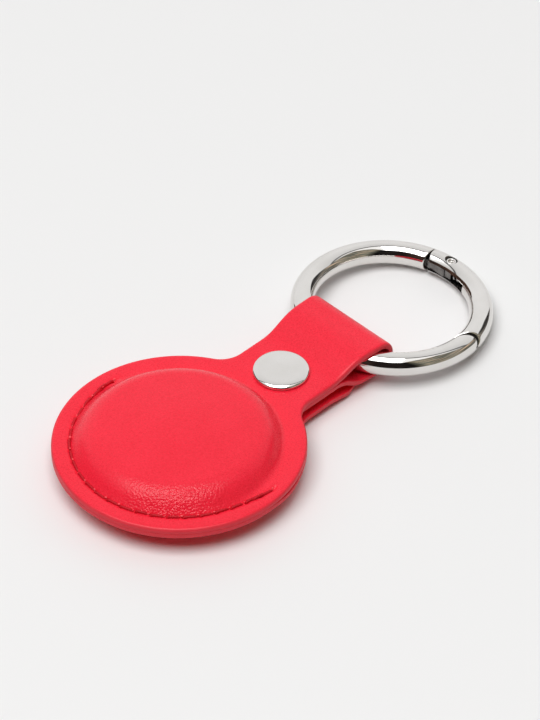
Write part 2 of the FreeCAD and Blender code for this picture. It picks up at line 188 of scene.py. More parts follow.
# Mesh of the leather: steps along its edge, rings over the pouch and rows over the neck
sheet_step = 0.5 * MM
strap_step = 0.8 * sheet_step
nearly_straight = radians(89.9)
edge_margin = 0.4 * MM
roll_insets = (0, 0.05, 0.17, 0.36, 0.62, 1.0)
seam_insets = (0, 0, 0.03, 0.12, 0.5, 1.0)
seam_levels = (0, 0.82, 0.96, 1.0, 1.0)
painted_rows = 3
first_ring = 0.6 * MM
dome_from = 12.5 * MM
sewn_in = 0.8 * MM
sewn_out = 2.0 * MM
flat_rings = 0.8 * MM
dome_rings = 0.36 * MM
sewn_rings = 0.2 * MM
ring_gap = 0.6 * MM
sewn_gap = 0.3 * MM
neck_from = 19.0 * MM
neck_clear = 0.2 * MM
neck_rows = 0.32 * MM
neck_across = 0.75 * MM

# Stitching
stitch_r = disc_r - 3.35 * MM
stitch_pitch = 2.9 * MM
stitch_len = 2.4 * MM
stitch_end = radians(9.0)
left_drift = 0.5 * MM
right_drift = 1.3 * MM
drift_run = radians(30.0)
length_spread = 0.14
line_spread = 0.13 * MM
line_draw = 40
last_len = 0.9 * stitch_len
last_shift = 0.12 * MM
last_rise = 0.2 * MM
thread_r = 0.27 * MM
thread_sink = 0.05 * MM
strand_relief = 0.16
dive_depth = 0.5 * MM
dive_from = 0.62
dive_curve = 1.5
stitch_steps = 14
knot_r = 0.3 * MM
knot_width = 0.75
knot_height = 0.5
knot_least = 0.72
knot_spread = 0.4
knot_lift = 0.24 * MM
channel_depth = 0.24 * MM
channel_w = 0.46 * MM
channel_end = 0.5 * MM
hole_depth = 0.38 * MM
hole_w = 0.34 * MM
hole_lag = 0.4 * MM


def spread(first, last, count):
    """Evenly spaced values from first to last, both of them kept."""
    return [first + (last - first) * i / count for i in range(count + 1)]


class Track:
    """Open path in a plane, from (u, v, corner radius) corners, read by its length from start or by u."""

    def __init__(self, corners, start=0.0, step=0.08 * MM):
        spots = [np.array(corners[0][:2])]
        for before, here, after in zip(corners, corners[1:], corners[2:]):
            spots += self.turn(np.array(before[:2]), np.array(here[:2]), np.array(after[:2]), here[2], step)
        spots.append(np.array(corners[-1][:2]))
        points = [spots[0]]
        for a, b in zip(spots, spots[1:]):
            count = max(1, int(np.linalg.norm(b - a) / step))
            points += spread(a, b, count)[1:]
        self.points = np.array(points)
        runs = np.linalg.norm(np.diff(self.points, axis=0), axis=1)
        self.s = start + np.concatenate([[0.0], np.cumsum(runs)])
        self.end = self.s[-1]
        way = np.gradient(self.points, self.s, axis=0)
        self.way = way / np.linalg.norm(way, axis=1)[:, None]

    @staticmethod
    def turn(before, here, after, radius, step):
        """Points of the arc that rounds one corner."""
        back = (before - here) / np.linalg.norm(before - here)
        ahead = (after - here) / np.linalg.norm(after - here)
        half = acos(max(-1.0, min(1.0, float(back @ ahead)))) / 2
        if radius == 0 or half > nearly_straight:
            return [here]
        start = here + back * radius / tan(half)
        inward = (back + ahead) / np.linalg.norm(back + ahead)
        centre = here + inward * radius / sin(half)
        arm = start - centre
        sweep = pi - 2 * half
        sign = -1 if back[0] * ahead[1] - back[1] * ahead[0] > 0 else 1
        count = max(4, int(radius * sweep / step))
        turns = spread(0, sign * sweep, count)
        return [centre + np.array([arm[0] * cos(a) - arm[1] * sin(a),
                                   arm[0] * sin(a) + arm[1] * cos(a)]) for a in turns]

    def at(self, s):
        """Point (u, v) and left-hand normal (u, v) at each length s."""
        u, v = (np.interp(s, self.s, self.points[:, i]) for i in (0, 1))
        tu, tv = (np.interp(s, self.s, self.way[:, i]) for i in (0, 1))
        return u, v, -tv, tu

    def over(self, u):
        """Height v and slope at each u, for a path that runs one way along u."""
        v = np.interp(u, self.points[:, 0], self.points[:, 1])
        slope = np.interp(u, self.points[:, 0], self.way[:, 1] / np.maximum(self.way[:, 0], 1e-6))
        return v, slope


def moved_left(points, distance):
    """Open path moved to its left, mitred at the corners."""
    points = [np.array(p, float) for p in points]
    ways = [(b - a) / np.linalg.norm(b - a) for a, b in zip(points, points[1:])]
    lefts = [np.array([-w[1], w[0]]) for w in ways]
    moved = []
    for i, p in enumerate(points):
        a = lefts[max(i - 1, 0)]
        b = lefts[min(i, len(lefts) - 1)]
        mitre = (a + b) / np.linalg.norm(a + b)
        moved.append(p + mitre * distance / float(mitre @ a))
    return moved


def strap_track():
    """Middle of the front leather in (y, z): over the ring's wire, round it and back to the tail's end."""
    tilt = atan2(ring_axis.y, ring_axis.z)
    loop_r = wire_r + loop_slack
    lift_y = flex_y + strap_lift
    near_y = lift_y + merge_run
    tip_y = fold_y - ply
    near_z = ring_centre.z + (ring_centre.y - near_y) * tan(tilt)
    tip_z = ring_centre.z + (ring_centre.y - tip_y + loop_r) * tan(tilt)
    inner = [
        (-disc_r, mid_z),
        (flex_y - rise_lead, mid_z),
        (near_y + crest_lag, near_z + loop_r),
        (tip_y, tip_z + loop_r),
        (tip_y, tip_z - loop_r - loop_room),
        (near_y, near_z - loop_r - loop_room),
        (lift_y, mid_z),
        (tail_end_y, mid_z),
    ]
    turn = loop_r - loop_slack / 2 + half_ply
    soft = bend_r + half_ply
    radii = [0, rise_r, rise_r, turn, turn, soft, soft, 0]
    path = moved_left(inner, half_ply)
    return Track([(p[0], p[1], r) for p, r in zip(path, radii)], -disc_r)


def dome_track(rise, crown, angle, foot, shoulder):
    """Middle of the moulded dome over its rim, by radius."""
    brow = foot - rise / tan(angle)
    corners = [
        (-brow, rise, 0),
        (0, rise + crown, crown_r),
        (brow, rise, shoulder - half_ply),
        (foot, 0, dome_foot_r + half_ply),
        (disc_r, 0, 0),
    ]
    return Track(corners)


def dome_over(rise, crown, x, y):
    """Height and slope of the dome over its rim at points in plan; it is rounder on the sewn side."""
    r = np.minimum(np.hypot(x, y), disc_r)
    share = np.clip(0.5 - sewn_blend * y / np.maximum(r, 1e-6), 0, 1)
    free, free_slope = dome_track(rise, crown, free_angle, free_foot, free_shoulder).over(r)
    sewn, sewn_slope = dome_track(rise, crown, sewn_angle, sewn_foot, sewn_shoulder).over(r)
    return free + (sewn - free) * share, free_slope + (sewn_slope - free_slope) * share


def back_track():
    """Middle of the back leather in (y, z): level with the rim, then down to the drooping tab."""
    level = mid_z - half_ply
    low = tab_z - half_ply
    join = tag_r + pocket_gap + (ply + base_fillet + edge_round) * tan(wall_angle / 2)
    corners = [
        (-disc_r, level, 0),
        (hinge_y - flap_bend_half, level, flap_bend_r),
        (hinge_y + flap_bend_half, level - rim_gap, flap_bend_r),
        (join + tab_crease, level - rim_gap, tab_bend_r + half_ply),
        (snap_y - stud_seat_r - tab_crease, low, tab_bend_r + half_ply),
        (snap_y + stud_seat_r + tab_crease, low, bend_r),
        (tab_end_y, low - tab_droop, 0),
    ]
    return Track(corners)


def arc_points(centre, radius, first, last, step):
    """Points along an arc, its last point left out."""
    count = max(3, int(abs(last - first) * radius / step))
    angles = spread(first, last, count)[:-1]
    return [(centre[0] + radius * cos(a), centre[1] + radius * sin(a)) for a in angles]


def line_points(a, b):
    """Points from a towards b, b left out."""
    count = max(1, int(dist(a, b) / sheet_step))
    return [(a[0] + (b[0] - a[0]) * i / count, a[1] + (b[1] - a[1]) * i / count) for i in range(count)]


def closed(half):
    """Whole outline from its right half, which runs from the foot to the far end on the middle line."""
    return half + [(-x, v) for x, v in half[:0:-1]]


def pouch_half():
    """Right edge of the round pouch and the fillet into the neck."""
    cx = neck_half + neck_fillet
    cy = sqrt((disc_r + neck_fillet) ** 2 - cx ** 2)
    touch = atan2(cy, cx)
    points = arc_points((0, 0), disc_r, -pi / 2, touch, sheet_step)
    points += arc_points((cx, cy), neck_fillet, touch + pi, pi, sheet_step)
    return points, cy


def front_outline(track):
    """Edge of the front leather laid out flat: x across, and the length along the strap."""
    points, neck_start = pouch_half()
    end = track.end
    straight = np.arange(neck_start, end - tail_round, strap_step)
    widths = strap_width(track.at(straight)[0])
    points += list(zip(widths, straight))
    corner = neck_half - tail_round
    points += arc_points((corner, end - tail_round), tail_round, 0, pi / 2, sheet_step / 2)
    points += line_points((corner, end), (0, end))
    points.append((0, end))
    return closed(points)


def strap_width(y):
    """Half width of the strap, which widens from the bend line to the fold."""
    share = np.clip((y - flex_y) / (fold_y - flex_y), 0, 1)
    return neck_half + (fold_half - neck_half) * share


def back_outline():
    """Edge of the back leather in plan, with the tab's cut corners."""
    points, neck_start = pouch_half()
    cut_y = tab_box_y - tab_cut
    tip = neck_half - tab_chamfer
    points += line_points((neck_half, neck_start), (neck_half, cut_y))
    points += line_points((neck_half, cut_y), (tip, tab_end_y))
    points += line_points((tip, tab_end_y), (0, tab_end_y))
    points.append((0, tab_end_y))
    return closed(points)


def stitch_angles():
    """Angles of the stitches' middles along the sewn edge."""
    first = pi - stitch_end
    last = tau + stitch_end
    step = stitch_pitch / stitch_r
    count = int((last - first) / step)
    spare = (last - first - count * step) / 2
    return [first + spare + step * (i + 0.5) for i in range(count)]


def stitch_radius(angle):
    """Radius of the sewn line, which drifts outwards at its two ends."""
    left = np.clip((angle - pi + stitch_end) / drift_run, 0, 1)
    right = np.clip((tau + stitch_end - angle) / drift_run, 0, 1)
    return stitch_r + left_drift * (1 - left) ** 2 + right_drift * (1 - right) ** 2


def hole_angles():
    """Angles of the needle holes, at both ends of each stitch."""
    half = stitch_pitch / stitch_r / 2
    middles = stitch_angles()
    return [middles[0] - half] + [m + half for m in middles]


def stitch_dent(x, y):
    """Depth of the sewn channel and of its needle holes at points in plan."""
    r = np.hypot(x, y)
    angle = np.mod(np.arctan2(y, x) - pi / 2, tau) + pi / 2
    reach = stitch_end + channel_end / stitch_r
    past = np.maximum(np.maximum(pi - reach - angle, angle - tau - reach), 0) * stitch_r
    line = stitch_radius(angle)
    depth = channel_depth * np.exp(-((r - line) / channel_w) ** 2) * np.exp(-(past / channel_end) ** 2)
    for a in hole_angles():
        a += hole_lag / stitch_r
        line = float(stitch_radius(a))
        spread = (x - line * cos(a)) ** 2 + (y - line * sin(a)) ** 2
        depth += hole_depth * np.exp(-spread / hole_w ** 2)
    return depth


def snap_dent(x, y):
    """Depth to which the pressed-on cap draws the leather in round its edge."""
    away = np.hypot(x, y - snap_y) - cap_r
    return snap_press / (1 + np.exp(away / snap_press_run))


def near_seam(r):
    return -sewn_in < r - stitch_r < sewn_out


def round_points(limit):
    """Points on circles over the pouch, closer together where the leather bends or is sewn."""
    radii = [first_ring]
    while radii[-1] < limit:
        r = radii[-1]
        radii.append(r + (sewn_rings if near_seam(r) else dome_rings if r > dome_from else flat_rings))
    points = [(0.0, 0.0)]
    for k, r in enumerate(radii[:-1]):
        count = max(6, int(tau * r / (sewn_gap if near_seam(r) else ring_gap)))
        angles = [(i + 0.5 * (k % 2)) * tau / count for i in range(count)]
        points += [(r * cos(a), r * sin(a)) for a in angles]
    return points


def strip_points(end, width, limit):
    """Points in rows along the neck, outside the circles over the pouch."""
    points = []
    rows = int((end - neck_from) / neck_rows)
    for v in spread(neck_from, end, rows):
        half = width(v)
        across = max(2, int(2 * half / neck_across))
        row = [(half * t, v) for t in spread(-1, 1, across)]
        points += [p for p in row if hypot(*p) > limit + neck_clear]
    return points


def edge_rows(outline, insets):
    """The outline and copies of it moved inwards."""
    loop = np.array(outline)
    way = np.roll(loop, -1, axis=0) - np.roll(loop, 1, axis=0)
    way /= np.linalg.norm(way, axis=1)[:, None]
    inward = np.stack([-way[:, 1], way[:, 0]], axis=1)
    return [loop + inward * d for d in insets]


def filled(rim, inner_points):
    """Flat points and triangles that fill a closed rim, and the new place of each of the rim's points."""
    count = len(rim)
    border = [(i, (i + 1) % count) for i in range(count)]
    spots = [Vector(p) for p in rim] + [Vector(p) for p in inner_points]
    found = delaunay_2d_cdt(spots, border, [], 1, 1e-9)
    rim_index = {j: i for i, f in enumerate(found[3]) for j in f if j < count}
    return np.array([tuple(p) for p in found[0]]), [list(f) for f in found[2]], rim_index


def rolled_faces(rows, count, rim_index):
    """Quads between the rows of a rolled edge, and a mark of 1 for each that is painted."""
    first = count * (rows - 1)
    quads = []
    marks = []
    for k in range(rows - 1):
        for i in range(count):
            j = (i + 1) % count
            if k < rows - 2:
                inner = [(k + 1) * count + j, (k + 1) * count + i]
            else:
                inner = [first + rim_index[j], first + rim_index[i]]
            quads.append([k * count + i, k * count + j] + inner)
            marks.append(int(k < painted_rows))
    return quads, marks


def sheet(name, outline, inner_points, edge_roll, place, materials):
    """Closed leather sheet: both faces from one flat layout, with a rolled edge.

    place(u, v, side, share) gives the point of the outer (+1) or inner (-1) face,
    where share is the part of the full thickness that the rolled edge leaves there."""
    rows = edge_rows(outline, [edge_roll * k for k in roll_insets])
    seam_rows = edge_rows(outline, [edge_roll * k for k in seam_insets])
    flat, inner_faces, rim_index = filled(rows[-1], inner_points)
    flat_all = np.concatenate(rows[:-1] + [flat])
    flat_seam = np.concatenate(seam_rows[:-1] + [flat])
    total = len(flat_all)
    count = len(outline)
    shares = np.ones(total)
    seam_shares = np.ones(total)
    for k, inset in enumerate(roll_insets[:-1]):
        shares[k * count:(k + 1) * count] = (1 - (1 - inset) ** edge_square) ** (1 / edge_square)
        seam_shares[k * count:(k + 1) * count] = seam_levels[k]
    quads, marks = rolled_faces(len(rows), count, rim_index)
    first = count * (len(rows) - 1)
    upper = quads + [[first + i for i in f] for f in inner_faces]
    lower = [[(i if i < count else i + total - count) for i in f][::-1] for f in upper]
    top = place(flat_all[:, 0], flat_all[:, 1], 1, shares)
    low = place(flat_seam[:, 0], flat_seam[:, 1], -1, seam_shares)
    marks = (marks + [0] * len(inner_faces)) * 2
    return new_piece(name, np.concatenate([top, low[count:]]), upper + lower, marks, materials)


def thickness(side, share, dent):
    """Signed distance of a face from the sheet's middle."""
    if side > 0:
        return half_ply * share - dent * share
    return -(half_ply - seam_gap) * share


def shifted(points, normals, distance):
    """Points moved along their normals, which needn't have unit length."""
    n = np.stack(normals, axis=1)
    n /= np.linalg.norm(n, axis=1)[:, None]
    return np.stack(points, axis=1) + n * distance[:, None]


def front_leather(leather, edge):
    """Front of the pouch, neck, loop round the ring and tail: one piece of leather."""
    track = strap_track()
    rise = top_z - mid_z - ply - dome_sink

    def place(x, s, side, share):
        y, z, ny, nz = track.at(s)
        on_pouch = s < flex_y
        r = np.hypot(x, y)
        height, slope = dome_over(rise, crown, x, y)
        height = np.where(on_pouch, height, 0)
        slope = np.where(on_pouch, slope, 0) / np.maximum(r, 1e-9)
        dent = stitch_dent(x, y) + snap_dent(x, y)
        off = thickness(side, share, np.where(on_pouch, dent, 0))
        return shifted([x, y, z + height], [-slope * x, ny - slope * y, nz], off)

    margin = front_roll + edge_margin
    limit = disc_r - margin
    width = lambda s: float(strap_width(track.at(s)[0])) - margin
    points = round_points(limit) + strip_points(track.end - margin, width, limit)
    piece = sheet("front_leather", front_outline(track), points, front_roll, place, [leather, edge])
    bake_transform(piece)
    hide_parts("front_panel", "strap_loop", "strap_tail")


def parting(x, y):
    """How far the back's edge hangs away from the front's on the right, past the end of the stitches."""
    turn = np.clip(np.abs(np.arctan2(y, x) - part_angle) / part_half, 0, 1)
    out = np.clip((np.hypot(x, y) - part_from) / (disc_r - part_from), 0, 1)
    return part_gap * (np.cos(pi * turn) + 1) / 2 * out ** 2


def back_leather(leather, edge):
    """Back of the pouch and the tab that carries the stud: one piece of leather."""
    track = back_track()
    rise = mid_z - ply

    def place(x, y, side, share):
        z, lean = track.over(y)
        r = np.hypot(x, y)
        height, slope = dome_over(rise, 0.0, x, y)
        gap = np.clip((mid_z - half_ply - z) / rim_gap, 0, 1) * rim_gap
        shrink = np.where(r < stitch_r, (rise - gap) / rise, 1)
        slope = -slope * shrink / np.maximum(r, 1e-9)
        normals = [-slope * x, -slope * y - np.where(r < stitch_r, 0, lean), np.ones_like(x)]
        off = -thickness(side, share, stitch_dent(x, y))
        return shifted([x, y, z - height * shrink - parting(x, y)], normals, off)

    margin = back_roll + edge_margin
    limit = disc_r - margin
    narrowing = tab_chamfer / (tab_end_y - tab_box_y + tab_cut)
    width = lambda v: neck_half - margin - max(0, v - tab_box_y + tab_cut) * narrowing
    points = round_points(limit) + strip_points(tab_end_y - margin, width, limit)
    piece = sheet("back_leather", back_outline(), points, back_roll, place, [leather, edge])
    piece.data.flip_normals()
    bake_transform(piece)
    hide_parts("back_panel", "back_flap")


def round_angles(sides):
    return spread(0, tau, sides)[:-1]


def band_faces(rows, sides):
    """Faces between rows of points round a tube."""
    faces = []
    for i in range(rows - 1):
        for j in range(sides):
            k = (j + 1) % sides
            faces.append((i * sides + j, i * sides + k, (i + 1) * sides + k, (i + 1) * sides + j))
    return faces


def thread_tube(spots, sides=10, twist=2.5):
    """Vertices and faces of a two-strand thread along points, closed at both ends."""
    vertices = []
    count = len(spots)
    for i, spot in enumerate(spots):
        ahead = spots[min(i + 1, count - 1)] - spots[max(i - 1, 0)]
        ahead.normalize()
        side = ahead.cross(Vector((0, 0, 1))).normalized()
        up = side.cross(ahead)
        for a in round_angles(sides):
            strand = 1 + strand_relief * cos(2 * (a - twist * tau * i / count))
            vertices.append(spot + (side * cos(a) + up * sin(a)) * thread_r * strand)
    ends = [tuple(range(sides))[::-1], tuple(range((count - 1) * sides, count * sides))]
    return vertices, band_faces(count, sides) + ends


def stitch_spots(angle, length, z, side, shift):
    """Points along one stitch, with its ends going down into the leather."""
    spots = []
    for t in spread(-1, 1, stitch_steps):
        a = angle + t * length / 2 / stitch_r
        r = float(stitch_radius(a)) + shift
        dive = dive_depth * (max(0.0, abs(t) - dive_from) / (1 - dive_from)) ** dive_curve
        spots.append(Vector((r * cos(a), r * sin(a), z - side * dive)))
    return spots


def knot(angle, z, size, sides=8, rows=5):
    """Vertices and faces of the small lump of thread that shows at a needle hole."""
    r = float(stitch_radius(angle))
    vertices = []
    for lean in spread(0, pi, rows):
        for a in round_angles(sides):
            out = knot_width * size * sin(lean) * cos(a)
            along = size * sin(lean) * sin(a)
            x = (r + out) * cos(angle) - along * sin(angle)
            y = (r + out) * sin(angle) + along * cos(angle)
            vertices.append(Vector((x, y, z + knot_height * size * cos(lean))))
    return vertices, band_faces(rows + 1, sides)


def uneven(i):
    """Repeatable number between -1 and 1, for what a sewing machine leaves uneven."""
    return sin(2.3 * i) * cos(5.1 * i + 0.7)


def stitching(name, node, z, side, thread, painted_highlight_knots):
    """Row of stitches along the sewn edge, sewn over twice at both ends, and the lumps at its holes, whose
    pale thread is a painted highlight.
    """
    angles = stitch_angles()
    half = stitch_pitch / stitch_r / 2
    runs = []
    for i, a in enumerate(angles):
        length = stitch_len * (1 + length_spread * uneven(i))
        runs.append((a, length, line_spread * uneven(i + line_draw), 0))
    runs += [(a, last_len, last_shift, last_rise) for a in (angles[0] + half, angles[-1] - half)]
    parts = [thread_tube(stitch_spots(angle, length, z + side * rise, side, shift))
             for angle, length, shift, rise in runs]
    for i, a in enumerate(hole_angles()):
        parts.append(knot(a, z + side * knot_lift, knot_r * (knot_least + knot_spread * uneven(i))))
    vertices, faces, owners = joined(parts)
    piece = new_piece(name, vertices, faces, [int(o >= len(runs)) for o in owners], [thread, painted_highlight_knots])
    stand_for(piece, "pouch", node)


def cap_profile():
    """Section of the pressed cap: a slightly domed face, a rounded edge and a foot curled in."""
    face_r = cap_r - cap_pillow
    face = [(face_r * t, cap_h - cap_dome * t ** 2) for t in spread(0, 1, face_steps)]
    edge_top = cap_h - cap_dome - cap_edge_r
    turns = spread(0, pi / 2, edge_steps)[1:]
    edge = [(face_r + cap_pillow * sin(a), edge_top + cap_edge_r * cos(a)) for a in turns]
    foot_in = cap_r - cap_foot_r
    foot = [(foot_in + cap_foot_r * cos(a), cap_foot_r - cap_foot_r * sin(a)) for a in turns]
    return face + edge + foot + [(cap_r - cap_foot_in, cap_foot_r), (0, cap_foot_r)]


def cap(nickel):
    """The snap's pressed cap."""
    place = Matrix.Translation((0, snap_y, cap_low.z))
    piece = mesh_object("snap_cap_shell", [lathe(cap_profile(), sides=128)], place, nickel)
    stand_for(piece, "pouch", "snap_cap")


def axes_at(spot, x, y, z):
    """Matrix of the frame at a spot with three given axes."""
    return Matrix.Translation(spot) @ Matrix((x, y, z)).transposed().to_4x4()


def ring_frame():
    """Matrix from the hinge's frame to the model's."""
    out = (pin - ring_centre).normalized()
    return axes_at(pin, out.cross(ring_axis), out, ring_axis)


def reach_angle(r, reach):
    """Ring angle from the pin at which a point at ring radius r lies reach away from the pin's axis."""
    return acos((ring_r ** 2 + r ** 2 - reach ** 2) / (2 * ring_r * r))


def nose_angle(gap):
    """Where the wire ends at the gate's nose, by ring radius and height; the nose turns about the pin."""
    ridge = 2 * ring_r * sin(gate_end / 2) + nose_depth / 2 + gap
    return lambda r, z: reach_angle(r, ridge - nose_depth / wire_r * abs(z))


def heel_angle(r, z):
    """Where the gate's heel ends: a flat stop on its outer half, round about the pin on its inner half."""
    flat = asin(heel / r)
    return -flat if r * cos(flat) > ring_r else -reach_angle(r, heel)


def root_angle(r, z):
    """Where the ring's body ends, at the hinge."""
    return tau - asin((heel + seam) / r)


def wire_point(angle, r, z):
    return Vector((r * sin(angle), r * cos(angle) - ring_r, z))


def wire_end_rows(end, inwards):
    """Section rows of a wire's end, from near the middle of its end face out over the rounded lip."""
    rows = [(k / end_rows * (wire_r - lip_r), 0.0) for k in range(1, end_rows + 1)]
    turns = [pi / 2 * (1 - t) for t in spread(0, 1, lip_rows)[1:]]
    rows += [(wire_r - lip_r * (1 - cos(t)), lip_r * (1 - sin(t))) for t in turns]

    def angle(row, b):
        r = ring_r + rows[row][0] * cos(b)
        z = rows[row][0] * sin(b)
        return end(r, z) + inwards * rows[row][1] / r, r, z

    return len(rows), angle


def wire_piece(first, last, steps, sides=72):
    """Skin and end faces of a length of round wire between two end surfaces, as (vertices, faces)."""
    turns = round_angles(sides)
    count, start = wire_end_rows(first, 1)
    _, stop = wire_end_rows(last, -1)
    rows = [[wire_point(*start(k, b)) for b in turns] for k in range(count)]
    for i in range(1, steps):
        row = []
        for b in turns:
            a0, r, z = start(count - 1, b)
            a1 = stop(count - 1, b)[0]
            row.append(wire_point(a0 + (a1 - a0) * i / steps, r, z))
        rows.append(row)
    rows += [[wire_point(*stop(k, b)) for b in turns] for k in reversed(range(count))]
    vertices = [wire_point(first(ring_r, 0), ring_r, 0)] + [p for row in rows for p in row]
    vertices.append(wire_point(last(ring_r, 0), ring_r, 0))
    faces = tube_faces(len(rows), sides)
    low = 1 + end_rows * sides
    high = 1 + (len(rows) - end_rows) * sides
    ends = [max(f) < low or min(f) >= high for f in faces]
    skin = [f for f, end in zip(faces, ends) if not end]
    return (vertices, skin), (vertices, [f for f, end in zip(faces, ends) if end])


def tube_faces(rows, sides):
    """Faces of rows of points round a tube, with a pole before the first row and after the last."""
    pole = 1 + rows * sides
    faces = []
    for j in range(sides):
        k = (j + 1) % sides
        faces.append((0, 1 + j, 1 + k))
        faces.append((pole, pole - sides + k, pole - sides + j))
        for i in range(rows - 1):
            a = 1 + i * sides
            faces.append((a + j, a + sides + j, a + sides + k, a + k))
    return faces


def slab(corners, half):
    """Vertices and faces of a flat block from its (x, y) outline, half thick to each side."""
    count = len(corners)
    vertices = [Vector((x, y, -half)) for x, y in corners] + [Vector((x, y, half)) for x, y in corners]
    faces = [tuple(range(count))[::-1], tuple(range(count, 2 * count))]
    faces += [(i, (i + 1) % count, count + (i + 1) % count, count + i) for i in range(count)]
    return vertices, faces


def tongue_outline():
    """Tongue on the ring's end: root, round nose about the pin, and the lug that the spring pushes on."""
    join = asin(tongue_top / tongue_nose_r)
    low = -asin(lug_top / tongue_nose_r)
    turns = spread(low, pi - join, edge_steps)
    nose = [(tongue_nose_r * cos(t), tongue_nose_r * sin(t)) for t in turns]
    root = -heel - seam - tongue_root
    foot = [(root, tongue_top), (root, -tongue_bottom), (0, -tongue_bottom), (0, -lug_bottom)]
    return nose + foot + [(lug_reach, -lug_bottom), (lug_reach, -lug_top)]


def slot_outline():
    """Slot in the gate's hinge end, open to the ring's inside."""
    low = -3 * wire_r
    far = -3 * heel

    def top(x):
        roof = sqrt((ring_r + slot_roof) ** 2 - x ** 2) - ring_r
        levels = [tongue_top + tongue_gap if x <= 0 else roof]
        round_r = tongue_nose_r + tongue_gap
        if abs(x) < round_r:
            levels.append(sqrt(round_r ** 2 - x ** 2))
        return max(levels)

    roof = [(x, top(x)) for x in spread(slot_reach, -slot_past, slot_steps)]
    return [(far, low), (slot_reach, low)] + roof + [(far, top(far))]


def both_ends(half):
    """Whole profile of a turned solid from its upper half."""
    return half + [(r, -z) for r, z in reversed(half)]


def pin_profile():
    """Riveted pin with rounded, dished ends."""
    lip = 0.12 * MM
    dot_r = 0.14 * MM
    dish_r = 0.66 * MM
    dish = 0.30 * MM
    end = wire_r - pin_recess
    face = [(0, end)]
    for t in spread(0, 1, face_steps):
        face.append((dot_r + (dish_r - dot_r) * t, end - dish * sin(pi * t) ** 2))
    turns = spread(0, pi / 2, end_rows)
    edge = [(pin_r - lip + lip * sin(t), end - lip + lip * cos(t)) for t in turns]
    return both_ends(face + edge)


def sink_profile():
    """Pin's hole with its two countersinks, as a solid to cut with."""
    hole_r = pin_r + pin_groove
    deep = sink_r - hole_r
    out = wire_r + deep
    half = [(0, out), (sink_r + deep, out), (hole_r, wire_r - deep), (hole_r, wire_r - 2 * pin_recess)]
    return both_ends(half + [(pin_r, wire_r - 2 * pin_recess)])


def lathe(profile, sides):
    """Vertices and faces of a solid turned about Z, from (radius, z) points with both ends on the axis."""
    turns = round_angles(sides)
    vertices = [Vector((0, 0, profile[0][1]))]
    for r, z in profile[1:-1]:
        vertices += [Vector((r * cos(a), r * sin(a), z)) for a in turns]
    vertices.append(Vector((0, 0, profile[-1][1])))
    return vertices, tube_faces(len(profile) - 2, sides)


def joined(solids):
    """Solids given as (vertices, faces) as one, with the number of the solid that each face comes from."""
    vertices = []
    faces = []
    owners = []
    for number, (points, skin) in enumerate(solids):
        faces += [tuple(i + len(vertices) for i in f) for f in skin]
        owners += [number] * len(skin)
        vertices += points
    return vertices, faces, owners


def put_in_scene(name, data):
    made = bpy.data.objects.new(name, data)
    bpy.context.scene.collection.objects.link(made)
    return made


def new_piece(name, vertices, faces, marks, materials):
    """Smooth mesh object, in which a face's mark is the number of its material."""
    mesh = bpy.data.meshes.new(name)
    mesh.from_pydata([tuple(v) for v in vertices], [], faces)
    for material in materials:
        mesh.materials.append(material)
    mesh.polygons.foreach_set("material_index", marks)
    mesh.polygons.foreach_set("use_smooth", [True] * len(faces))
    mesh.update()
    return put_in_scene(name, mesh)


def mesh_object(name, solids, place, *materials):
    """Mesh object from solids, each with its material, moved to their place."""
    vertices, faces, owners = joined(solids)
    marks = [min(number, len(materials) - 1) for number in owners]
    piece = new_piece(name, [place @ p for p in vertices], faces, marks, materials)
    work = bmesh.new()
    work.from_mesh(piece.data)
    bmesh.ops.remove_doubles(work, verts=work.verts, dist=1e-7)
    bmesh.ops.recalc_face_normals(work, faces=work.faces)
    work.to_mesh(piece.data)
    work.free()
    return piece


def apply_modifiers(piece):
    """Replaces a piece's mesh by what its modifiers make of it."""
    evaluated = piece.evaluated_get(bpy.context.evaluated_depsgraph_get())
    made = bpy.data.meshes.new_from_object(evaluated)
    piece.modifiers.clear()
    piece.data = made


def cut_out(piece, solids, place, material):
    """Cuts solids out of a piece."""
    tool = mesh_object(piece.name + "_tool", solids, place, material)
    cut = piece.modifiers.new("cut", "BOOLEAN")
    cut.operation = "DIFFERENCE"
    cut.solver = "EXACT"
    cut.object = tool
    cut.material_mode = "TRANSFER"
    apply_modifiers(piece)
    bpy.data.objects.remove(tool)


def crisp(piece, angle=35.0):
    """Keeps the edges sharper than an angle sharp under smooth shading."""
    limit = radians(angle)
    work = bmesh.new()
    work.from_mesh(piece.data)
    for edge in work.edges:
        edge.smooth = edge.calc_face_angle(0.0) < limit
    work.to_mesh(piece.data)
    work.free()


def stand_for(piece, body, node):
    """Lets a piece ride on a body in place of a CAD node."""
    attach(piece, body)
    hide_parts(node)


def ring_body(nickel, inside):
    """Open ring of round wire with the hinge's tongue."""
    place = ring_frame()
    skin, ends = wire_piece(nose_angle(nose_gap), root_angle, steps=150)
    tongue = slab(tongue_outline(), tongue_half)
    # The wire's end faces and the tongue take the near-black plating: painted shade of the gaps at the hinge
    # and the nose.
    piece = mesh_object("ring_wire", [skin, ends, tongue], place, nickel, inside)
    crisp(piece, angle=50.0)
    stand_for(piece, "ring", "ring_body")


def ring_gate(nickel, inside):
    """Spring gate: nose, slotted heel and pin hole."""
    place = ring_frame()
    solids = wire_piece(heel_angle, nose_angle(0), steps=60)
    # The wire's end faces, the slot's walls and the pin hole's walls take the near-black plating: painted
    # shade of the slot and the gaps.
    piece = mesh_object("gate_wire", solids, place, nickel, inside)
    cut_out(piece, [slab(slot_outline(), tongue_half + tongue_gap)], place, inside)
    cut_out(piece, [lathe(sink_profile(), sides=48)], place, inside)
    crisp(piece)
    stand_for(piece, "gate", "ring_gate")


def hinge_pin(nickel):
    piece = mesh_object("gate_pin", [lathe(pin_profile(), sides=48)], ring_frame(), nickel)
    stand_for(piece, "gate", "hinge_pin")


